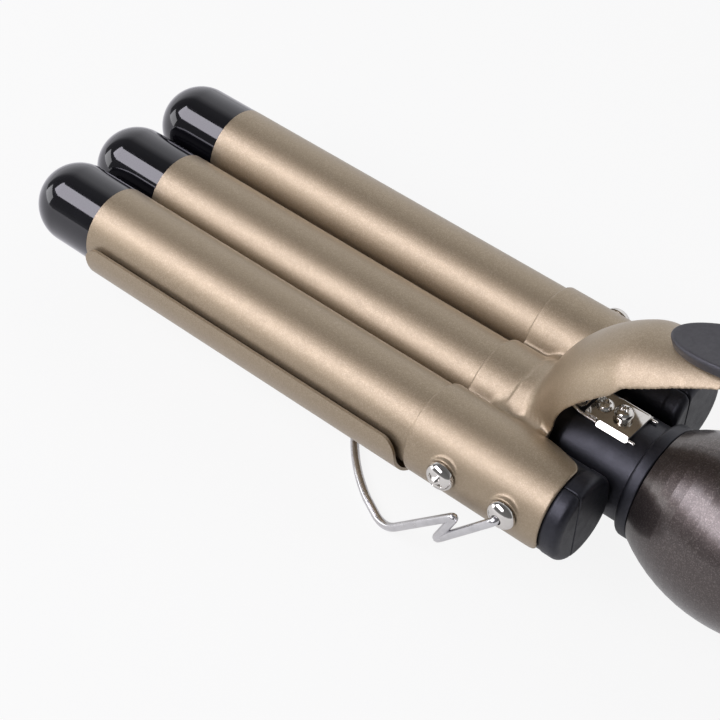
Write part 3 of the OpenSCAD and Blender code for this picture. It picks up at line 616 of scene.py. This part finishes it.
def yoke_field(x, y, z):
    """Distance to the yoke's half with y >= 0: a skin of even thickness on a smooth union of sleeve,
    cover, lever and screw seats, kept only where the sheet is."""
    stations = lever_stations()
    grids = below_crest(*np.meshgrid(x.ravel(), z.ravel(), indexing="ij"), stations)
    depth, half, deep = (g[:, None, :] for g in grids)

    lever = smax(lever_field(y, depth, half, deep), x - FOOT_X - 0.5, 1.0)
    sleeve = np.hypot(y - PITCH, z) - SLEEVE_R + 0 * x
    for seat_x in (SCREW_X, HINGE[0]):
        disc = np.hypot(x - seat_x, z - HINGE[2]) - SEAT_R + 0 * y
        seat = rmax(disc, y - HEAD_SEAT_Y + SEAT_RISE + 0 * x, 0.5)
        sleeve = smin(sleeve, seat, SEAT_FILLET)
    cover = smax(np.hypot(y, z + DROP) - COVER_R + 0 * x, COVER_END_X - x, 1.0)
    fillet = np.interp(-x, FOOT_FILLET_X, FOOT_FILLET)
    skin = smin(smin(sleeve, cover, COVER_FILLET), lever, fillet)
    shell = smax(skin, -(skin + SHEET), 0.3)

    floor = np.where(y > PITCH, -SLEEVE_WRAP, -INNER_WRAP) - z + 0 * x
    edge = np.interp(-x, [-OPENING_X, OPENING_RAMP - OPENING_X, -YOKE_REAR], OPENING_Y)
    opening = np.maximum(x - OPENING_X, y - edge)
    low, r = -SLEEVE_WRAP, SLEEVE_CORNER_R
    rounding = np.hypot(x - YOKE_REAR - r, z - low - r) - r
    corner = np.where((x < YOKE_REAR + r) & (z < low + r), rounding, FAR_INSIDE)
    keep_cover = np.maximum(np.maximum(COVER_END_X - x, floor), y - COVER_HALF)
    keep_lever = np.maximum(np.maximum(depth - deep, floor), y - half - LEVER_MARGIN)
    keep_sleeve = rmax(YOKE_REAR - x + 0 * y, -opening, OPENING_CORNER_R)
    keep_sleeve = np.maximum(keep_sleeve, np.maximum(floor, corner))
    keep = smin(np.minimum(keep_cover, keep_sleeve), keep_lever, EDGE_FILLET)
    end = ((x - stations[-1, 0]) * -math.cos(rad(TAB_SLOPE))
           + (z - stations[-1, 1]) * math.sin(rad(TAB_SLOPE)))
    keep = np.maximum(np.maximum(keep, end), x - YOKE_FRONT)
    field = smax(shell, keep, 0.35)
    for hole_x, hole_r in ((SCREW_X, SCREW_HOLE_R), (HINGE[0], PIN_HOLE_R)):
        hole = hole_r - np.hypot(x - hole_x, z - HINGE[2])
        field = np.maximum(field, np.where(y > PITCH, hole, FAR_INSIDE))
    return field


def add_yoke():
    """The whole pressed sheet, sampled over one half and mirrored."""
    step = 0.4
    x, y, z = axes((-193.6, step / 2, -10.4), (-119.4, 42.0, 55.0), step)
    half = yoke_field(x, y, z)
    field = np.concatenate([half[:, ::-1], half], 1)
    both = np.concatenate([-y[:, ::-1], y], 1)
    verts, faces = net(field, x, both, z, step, 5)
    new_piece("yoke_sheet", verts, faces, "champagne_coat", "upper_jaw", ["jaw_yoke"], 50.0)


add_yoke()


# ---------------------------------------------------------------- thumb tab and plugs

TAB_LEN = 44.0
TAB_W = 18.4
TAB_T = 3.8
TAB_START_S = 6.2
TAB_DISH = 0.25
TAB_BAND = 1.0
TAB_LEAN = 0.16
TAB_CHAMFER = 0.42
SQRT_HALF = 0.7071


def add_thumb_tab():
    """Oval rest: flat top with a narrow chamfer, sides that lean in towards the lever."""
    step = 0.3
    x, y, z = axes((-23.4, -10.5, -1.2), (23.4, 10.5, 5.2), step)
    a, b = TAB_LEN / 2, TAB_W / 2
    k0 = np.hypot(x / a, y / b)
    k1 = np.hypot(x / a ** 2, y / b ** 2)
    oval = k0 * (k0 - 1) / np.maximum(k1, 1e-6) + 0 * z
    dish = TAB_DISH * np.clip(1 - k0 ** 2, 0, 1)
    side = oval + np.clip(TAB_T - TAB_BAND - z, 0, TAB_T) * TAB_LEAN
    top = z - TAB_T + dish
    bevel = (side + top) * SQRT_HALF + TAB_CHAMFER
    body = rmax(np.maximum(np.maximum(side, top), bevel), 0.1 - z + 0 * oval, 0.7)
    verts, faces = net(body, x, y, z, step, 2)
    cx, cz = tab_crest(TAB_START_S + a)
    c, s = math.cos(rad(TAB_SLOPE)), math.sin(rad(TAB_SLOPE))
    placed = np.stack([cx - c * verts[:, 0] + s * verts[:, 2], verts[:, 1],
                       cz + s * verts[:, 0] + c * verts[:, 2]], 1)
    new_piece("thumb_rest", placed, faces, "tab_plastic", "upper_jaw", ["thumb_tab"], 30.0)


PLUG_REAR = YOKE_REAR - 5.6
PLUG_FRONT = YOKE_FRONT - 27.0
PLUG_EDGE_R = 2.2
PARTING_GAP = 0.04
PARTING_Y = {"left_plug": 30.3, "right_plug": 20.8}


def plug_half(outer, parting):
    """One moulded half of a plug, either side of the parting plane."""
    step = 0.4
    x, y, z = axes((PLUG_REAR - 1.2, 13.6, -13.8), (PLUG_FRONT + 1.0, 40.6, 13.8), step)
    r = np.where(x < YOKE_REAR - 0.05, BARREL_R + 0.2, BARREL_R)
    body = rmax(np.hypot(y - PITCH, z) - r, PLUG_REAR - x + 0 * y, PLUG_EDGE_R)
    body = rmax(np.maximum(body, x - PLUG_FRONT), NECK_R + 0.3 - y, 0.9)
    split = (parting + PARTING_GAP - y) if outer else (y - parting + PARTING_GAP)
    return net(rmax(body, split + 0 * x, 0.22), x, y, z, step, 2)


def add_plugs():
    """Both plugs, each of two halves with a fine seam between them."""
    for side, name in ((1, "left_plug"), (-1, "right_plug")):
        halves = [plug_half(outer, PARTING_Y[name]) for outer in (True, False)]
        parts = [(v * (1, side, 1), f) for v, f in halves]
        new_piece(name + "_halves", *joined(parts), "black_plastic", "upper_jaw", [name], 40.0)


add_thumb_tab()
add_plugs()


# ---------------------------------------------------------------- wire forms

def ring_faces(rows, columns, index):
    """Quads between neighbouring rows and columns of points."""
    return [[index(k, i), index(k, i + 1), index(k + 1, i + 1), index(k + 1, i)]
            for k in range(rows) for i in range(columns)]


def tube(path, r, sides=16, cap_steps=3):
    """Round wire with round ends along a path; the rings turn with the path and don't twist."""
    path = np.asarray(path, float)
    tangent = np.gradient(path, axis=0)
    tangent /= np.linalg.norm(tangent, axis=1)[:, None]
    side = np.cross(tangent[0], (0.0, 0.31, 0.95))
    side /= np.linalg.norm(side)
    circle = 2 * math.pi * np.arange(sides) / sides
    rings = []
    for p, t in zip(path, tangent):
        side = side - t * np.dot(side, t)
        side /= np.linalg.norm(side)
        rings.append((p, t, side, np.cross(t, side)))
    cap = np.linspace(0.2, math.pi / 2, cap_steps + 1)[:-1]
    levels = [(rings[0], -math.cos(a), math.sin(a)) for a in cap]
    levels += [(ring, 0.0, 1.0) for ring in rings]
    levels += [(rings[-1], math.cos(a), math.sin(a)) for a in cap[::-1]]
    verts = []
    for (p, t, u, v), along, wide in levels:
        verts += [p + t * (r * along) + wide * r * (math.cos(a) * u + math.sin(a) * v) for a in circle]
    last = len(levels) - 1
    faces = ring_faces(last, sides, lambda k, i: k * sides + i % sides)
    faces += [list(range(sides))[::-1], list(range(last * sides, (last + 1) * sides))]
    return verts, faces


def corner(a, b, c, r, steps=9):
    """Round corner at b of the line from a to c, starting r before the corner."""
    a, b, c = (np.array(p, float) for p in (a, b, c))
    p = b + r * (a - b) / np.linalg.norm(a - b)
    q = b + r * (c - b) / np.linalg.norm(c - b)
    return [(1 - t) ** 2 * p + 2 * t * (1 - t) * b + t * t * q for t in np.linspace(0, 1, steps)]


def mirrored(half):
    """A path over one side and back over the other."""
    half = [np.array(p, float) for p in half]
    return half + [p * (1, -1, 1) for p in reversed(half)]


# The stand's foot as in the source; the bends of its legs are given by how far ahead of the hinge,
# how far out towards the foot (a share), and how high above it they lie
FOOT_REACH = 70.4
FOOT_HALF_SPAN = 45.0
FOOT_FRONT_R = 39.0
FOOT_HEADING = 50.0
FOOT_SIDE_R = 70.0
WIRE_IN_PIN = 5.0
LOW_BEND = (17.3, 0.45, 8.2)
HIGH_BEND = (11.4, 0.55, 22.0)


def stand_path():
    """The stand's wire from one pivot pin over the foot to the other."""
    hx, hz = HINGE[0], HINGE[2]
    foot_z = BASE_Z + WIRE_R
    leg_y = HEAD_SEAT_Y + PIN_HEAD_H + WIRE_R + 0.3
    centre_x = hx + FOOT_REACH - FOOT_FRONT_R
    heading = rad(FOOT_HEADING)
    bend = np.array([centre_x + FOOT_FRONT_R * math.sin(heading), FOOT_FRONT_R * math.cos(heading)])
    side_heading = math.acos(math.cos(heading) + (FOOT_HALF_SPAN - bend[1]) / FOOT_SIDE_R)
    middle = bend - FOOT_SIDE_R * np.array([math.sin(heading), math.cos(heading)])
    side = [(middle[0] + FOOT_SIDE_R * math.sin(a), middle[1] + FOOT_SIDE_R * math.cos(a), foot_z)
            for a in np.linspace(side_heading, heading, 15)]
    corner_point = (side[0][0], FOOT_HALF_SPAN, foot_z)
    top = (hx, leg_y, hz)
    low, high = ((hx + ahead, blend(leg_y, FOOT_HALF_SPAN, out), foot_z + up)
                 for ahead, out, up in (LOW_BEND, HIGH_BEND))
    path = [(hx, y, hz) for y in np.linspace(leg_y - WIRE_IN_PIN - WIRE_R, leg_y - 2.0, 5)]
    path += corner((hx, 0, hz), top, low, 1.9)
    path += corner(top, low, high, 2.6)
    path += corner(low, high, corner_point, 2.6)
    path += corner(high, corner_point, side[4], 5.5, 13)
    path += side[5:]
    path += [(centre_x + FOOT_FRONT_R * math.sin(rad(a)), FOOT_FRONT_R * math.cos(rad(a)), foot_z)
             for a in np.arange(FOOT_HEADING + 2.5, 89.9, 2.5)]
    return mirrored(path)


def rounded(path, rounds):
    """Cuts the corners of a path, again and again, and keeps its ends."""
    path = [np.array(p, float) for p in path]
    for _ in range(rounds):
        cut = [path[0]]
        for a, b in zip(path, path[1:]):
            cut += [0.75 * a + 0.25 * b, 0.25 * a + 0.75 * b]
        path = cut + [path[-1]]
    return path


SPRING_WIRE_R = 0.5
SPRING_R = 3.4
SPRING_Y = 5.4
SPRING_PITCH = 1.2
SPRING_TURNS = 3.25
SPRING_X = HINGE[0] + 4.2
SPRING_Z = -DROP + NECK_R + SPRING_WIRE_R + 0.3 + SPRING_R
SPRING_LEG_Z = BRACKET_Z - 0.55
TOUCH_SLOPE = 50.0
TOUCH_DEPTH = 1.7
BRACKET_FRONT = HINGE[0] + 0.6
BRACKET_REAR = HINGE[0] - 14.0
BRACKET_HALF = 5.3
FLANGE_W = 2.2
FLANGE_L = 10.4


def spring_path():
    """Legs under the bracket, two coils and the loop that presses on the lever from below."""
    a = rad(TOUCH_SLOPE)
    crest_x, crest_z = arch_crest(TOUCH_SLOPE)
    touch_x, touch_z = crest_x - TOUCH_DEPTH * math.sin(a), crest_z - TOUCH_DEPTH * math.cos(a)
    end_y = SPRING_Y - SPRING_TURNS * SPRING_PITCH
    half = [(x, SPRING_Y, SPRING_LEG_Z) for x in (BRACKET_REAR - 1.4, BRACKET_REAR + 3, BRACKET_FRONT + 0.4)]
    for t in np.linspace(0, SPRING_TURNS, 72):
        a = 2 * math.pi * t
        half.append((SPRING_X + SPRING_R * math.sin(a), SPRING_Y - SPRING_PITCH * t,
                     SPRING_Z - SPRING_R * math.cos(a)))
    half += [(SPRING_X + SPRING_R - 1.2, end_y, SPRING_Z + 1.2 * SPRING_R),
             (touch_x + 0.6, end_y, touch_z - 1.2), (touch_x, end_y - 0.4, touch_z)]
    return rounded(mirrored(half), 2)


def add_wires():
    """The stand, and the spring, which is shared between the neck and the lever."""
    new_piece("stand_bow", *tube(stand_path(), WIRE_R, 20), "steel", "stand", ["stand_wire"], 40.0)
    spring = new_piece("torsion_spring", *tube(spring_path(), SPRING_WIRE_R, 12), "nickel", "",
                       ["jaw_spring"], 40.0)
    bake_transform(spring)


add_wires()


# ---------------------------------------------------------------- screw heads and bracket

HEAD_STEM_R = HEAD_D / 2 - 0.7
SHANK_R = 1.25

# The bracket's screws: X, radius, height and lift of the head, turn of its cross in degrees
BRACKET_SCREWS = ((HINGE[0] - 2.4, 2.4, 1.6, 0.05, 18), (HINGE[0] - 8.3, 2.7, 2.0, 1.1, 52))


def revolved(profile, steps=128, z=-DROP):
    """Closed ring about the handle's axis, from points (x, radius)."""
    n = len(profile)
    verts = [(x, r * math.cos(a), z + r * math.sin(a))
             for a in np.linspace(0, 2 * math.pi, steps, endpoint=False) for x, r in profile]
    return verts, ring_faces(steps, n, lambda k, i: (k % steps) * n + i % n)


def cross_head(r, h, arm, slot, depth, turn, n=56):
    """Pan head with a cross recess, drawn on z = 0 as a square grid that is pushed out to a circle."""
    u, v = np.meshgrid(np.linspace(-1, 1, n + 1), np.linspace(-1, 1, n + 1), indexing="ij")
    far = np.maximum(np.abs(u), np.abs(v))
    dist = np.maximum(np.hypot(u, v), 1e-9)
    w = np.clip((far - 0.55) / 0.45, 0, 1)
    w = w * w * (3 - 2 * w)
    scale = 1 + w * (far / dist - 1)
    x, y = r * u * scale, r * v * scale
    rho = np.clip(np.hypot(x, y) / r, 0, 1)
    z = h * np.sqrt(1 - rho ** 2.6)
    long_way, across = np.maximum(np.abs(x), np.abs(y)), np.minimum(np.abs(x), np.abs(y))
    wall = 1 - np.clip((across - slot + 0.07) / 0.14, 0, 1)
    bottom = 0.97 * h - depth * np.clip((arm - long_way) / (0.6 * arm), 0, 1) ** 0.6
    z = np.where(long_way < arm, z + wall * (np.minimum(z, bottom) - z), z)
    c, s = math.cos(rad(turn)), math.sin(rad(turn))
    top = np.stack([c * x - s * y, s * x + c * y, z], -1).reshape(-1, 3)
    row = n + 1
    faces = ring_faces(n, n, lambda j, i: i * row + j)
    rim = ([i * row for i in range(n)] + [n * row + j for j in range(n)]
           + [i * row + n for i in range(n, 0, -1)] + [j for j in range(n, 0, -1)])
    return top, faces + [rim]


def on_side(head, x, side):
    """A head drawn on z = 0, turned onto a side of the yoke."""
    v, f = head
    return np.stack([x + v[:, 0], side * (HEAD_SEAT_Y + HEAD_GAP + v[:, 2]), HINGE[2] + v[:, 1]], 1), f


def hinge_dome(side):
    """Polished dome round a pivot pin's head, open in the middle where the stand's wire goes in."""
    bore = 1.5
    rise = [(HEAD_H * math.sin(a), HEAD_D / 2 * math.cos(a)) for a in np.linspace(0, 1.21, 14)]
    profile = [(-HEAD_GAP, HEAD_STEM_R), (0.0, HEAD_STEM_R)] + rise
    profile += [(HEAD_H - 0.3, bore), (-HEAD_GAP, bore)]
    verts, faces = revolved(profile, 72, 0.0)
    return on_side((np.array(verts)[:, [1, 2, 0]], faces), HINGE[0], side)


def side_pin(side, start, end, r, *rings):
    """Round bar across a sleeve, from start to end measured from the heads' seat."""
    return tube([(SCREW_X, side * (HEAD_SEAT_Y + y), HINGE[2]) for y in (start, end)], r, *rings)


def add_screws():
    """Heads on the yoke's sides and on the bracket, with what joins them to the parts under them."""
    shanks = [side_pin(s, -8, 0, SHANK_R) for s in (1, -1)]
    necks = [side_pin(s, -1.5, 0.4, HEAD_STEM_R, 40, 1) for s in (1, -1)]
    heads = [on_side(cross_head(HEAD_D / 2, HEAD_H, 2.5, 0.5, 1.5, turn), SCREW_X, s)
             for s, turn in ((1, 24), (-1, 67))]
    new_piece("sleeve_cross_screws", *joined(heads + necks + shanks), "nickel", "upper_jaw",
              ["sleeve_screws"], 38.0)
    new_piece("hinge_domes", *joined([hinge_dome(1), hinge_dome(-1)]), "nickel", "upper_jaw", (), 38.0)
    parts = []
    top = BRACKET_Z + SHEET
    for x, r, h, lift, turn in BRACKET_SCREWS:
        v, f = cross_head(r, h, 0.68 * r, 0.15 * r, 0.6 * h, turn, 44)
        parts.append((v + (x, 0, top + lift), f))
        parts.append(tube([(x, 0, -DROP + 9.4), (x, 0, top + lift)], 1.1))
        if lift > 0.5:
            parts.append(tube([(x, 0, top), (x, 0, top + lift - 0.2)], 0.8 * r, 32, 1))
    new_piece("bracket_cross_screws", *joined(parts), "nickel", "handle_body", ["bracket_screws"], 38.0)


def bracket_field(x, y, z):
    """Distance to the pressed bracket: a flat top and two flanges that slant down to the neck."""
    top = BRACKET_Z + SHEET
    y = np.abs(y)
    middle, half_x = (BRACKET_FRONT + BRACKET_REAR) / 2, (BRACKET_FRONT - BRACKET_REAR) / 2
    plate = np.maximum(np.abs(x - middle) - half_x + 0 * y, np.abs(z - top + SHEET / 2) - SHEET / 2)
    plate = rmax(plate, y - BRACKET_HALF + 0 * x, 0.2)
    along = (y - BRACKET_HALF + top - z) * SQRT_HALF
    across = (y - BRACKET_HALF - top + z) * SQRT_HALF
    flange_middle = BRACKET_REAR + FLANGE_L / 2
    r = FLANGE_W / 2 - 0.05
    outline = np.hypot(np.maximum(np.abs(x - flange_middle) - FLANGE_L / 2 + r, 0),
                       np.maximum(np.abs(along - FLANGE_W / 2) - FLANGE_W / 2 + r, 0)) - r
    flange = np.maximum(outline, np.abs(across + SHEET / 2) - SHEET / 2)
    return smin(plate, flange, 0.35)


def add_bracket():
    """The bright plate on the neck that holds the spring's legs."""
    step = 0.2
    x, y, z = axes((BRACKET_REAR - 0.5, -8.5, 9.3), (BRACKET_FRONT + 0.6, 8.5, 14.1), step)
    new_piece("pressed_bracket", *net(bracket_field(x, y, z), x, y, z, step, 2), "nickel", "handle_body",
              ["spring_bracket"], 40.0)


add_screws()
add_bracket()


# ---------------------------------------------------------------- collar

def quarter(cx, cr, r, start, steps=6):
    """Quarter circle in the (x, radius) plane, clockwise from the start angle in degrees."""
    return [(cx + r * math.cos(rad(start - 90 * i / steps)), cr + r * math.sin(rad(start - 90 * i / steps)))
            for i in range(steps + 1)]


def add_collar():
    """Black ring between the neck and the handle, rounded at the neck's side."""
    front, rear = COLLAR_FRONT, HANDLE_FRONT + 0.35
    profile = [(front, NECK_R + 0.05), (rear, NECK_R + 0.05), (rear, COLLAR_R - 0.5)]
    profile += quarter(rear + 0.5, COLLAR_R - 0.5, 0.5, 180)
    profile += [(front - 1.9, COLLAR_R)]
    profile += quarter(front - 1.4, COLLAR_R - 1.4, 1.4, 90)
    new_piece("collar_flange", *revolved(profile), "black_plastic", "handle_body", ["collar_ring"], 32.0)


add_collar()


# ---------------------------------------------------------------- light and floor

AIM = (0.0, 0.0, 0.02)
PALE_WORLD = (0.947, 0.947, 0.947)

# Brightness of the room round the X axis, by degrees from straight up, positive towards +Y
ROOM = ((-180, 0.8), (-60, 0.85), (-34, 0.72), (-14, 0.18), (10, 0.12), (80, 0.16), (100, 0.4), (180, 0.8))
ROOM_BLUE = 1.02

FLOOR_HALF = 4.0
FLOOR_MATT = (0.80, 0.80, 0.80)
FLOOR_GLOW = (0.985, 0.985, 0.985)
GLOW_SEEN = 0.90
GLOW_MIRRORED = 0.35


def area(name, at, size, radiance, tint=(1, 1, 1)):
    """Rectangular light of an even radiance, aimed at the object."""
    data = bpy.data.lights.new(name, "AREA")
    data.shape = "RECTANGLE"
    data.size, data.size_y = size
    data.energy = radiance * math.pi * size[0] * size[1]
    data.color = tint
    lamp = bpy.data.objects.new(name, data)
    lamp.location = at
    lamp.rotation_euler = (Vector(AIM) - Vector(at)).to_track_quat("-Z", "Y").to_euler()
    scene.collection.objects.link(lamp)


def studio_world():
    """Pale for the camera; around the object a bright far wall, a dark ceiling and a dim near side."""
    world = bpy.data.worlds.new("world")
    scene.world = world
    world.use_nodes = True
    g = Graph(world.node_tree)
    split = g.add("ShaderNodeSeparateXYZ")
    g.feed(split.inputs[0], g.add("ShaderNodeTexCoord").outputs["Generated"])
    angle = g.math("ARCTAN2", split.outputs[1], split.outputs[2])
    turn = g.span(angle, 0.0, 1.0, -math.pi, math.pi)
    tone = g.ramp(turn, [((degrees + 180) / 360, (v, v, v * ROOM_BLUE)) for degrees, v in ROOM])
    seen = g.add("ShaderNodeLightPath").outputs["Is Camera Ray"]
    g.show("ShaderNodeOutputWorld", seen, g.shader("ShaderNodeBackground", tone),
           g.shader("ShaderNodeBackground", PALE_WORLD))


def pale_floor():
    """Matt floor that glows towards the camera, and more weakly in mirrored rays."""
    me = bpy.data.meshes.new("floor")
    s = FLOOR_HALF
    me.from_pydata([(-s, -s, 0), (s, -s, 0), (s, s, 0), (-s, s, 0)], [], [(0, 1, 2, 3)])
    floor = bpy.data.objects.new("floor", me)
    scene.collection.objects.link(floor)
    mat = bpy.data.materials.new("floor")
    mat.use_nodes = True
    g = Graph(mat.node_tree)
    ray = g.add("ShaderNodeLightPath").outputs
    seen = g.math("MULTIPLY", ray["Is Camera Ray"], GLOW_SEEN)
    share = g.math("MULTIPLY_ADD", ray["Is Glossy Ray"], GLOW_MIRRORED, seen)
    g.show("ShaderNodeOutputMaterial", share, g.shader("ShaderNodeBsdfDiffuse", FLOOR_MATT),
           g.shader("ShaderNodeEmission", FLOOR_GLOW))
    me.materials.append(mat)


area("strip_near", (0.56, 0.86, 0.90), (1.6, 0.60), 4.9, tint=(1.0, 0.97, 1.05))
area("card_front", (0.95, 0.42, 0.16), (0.5, 0.3), 2.2)
studio_world()
pale_floor()
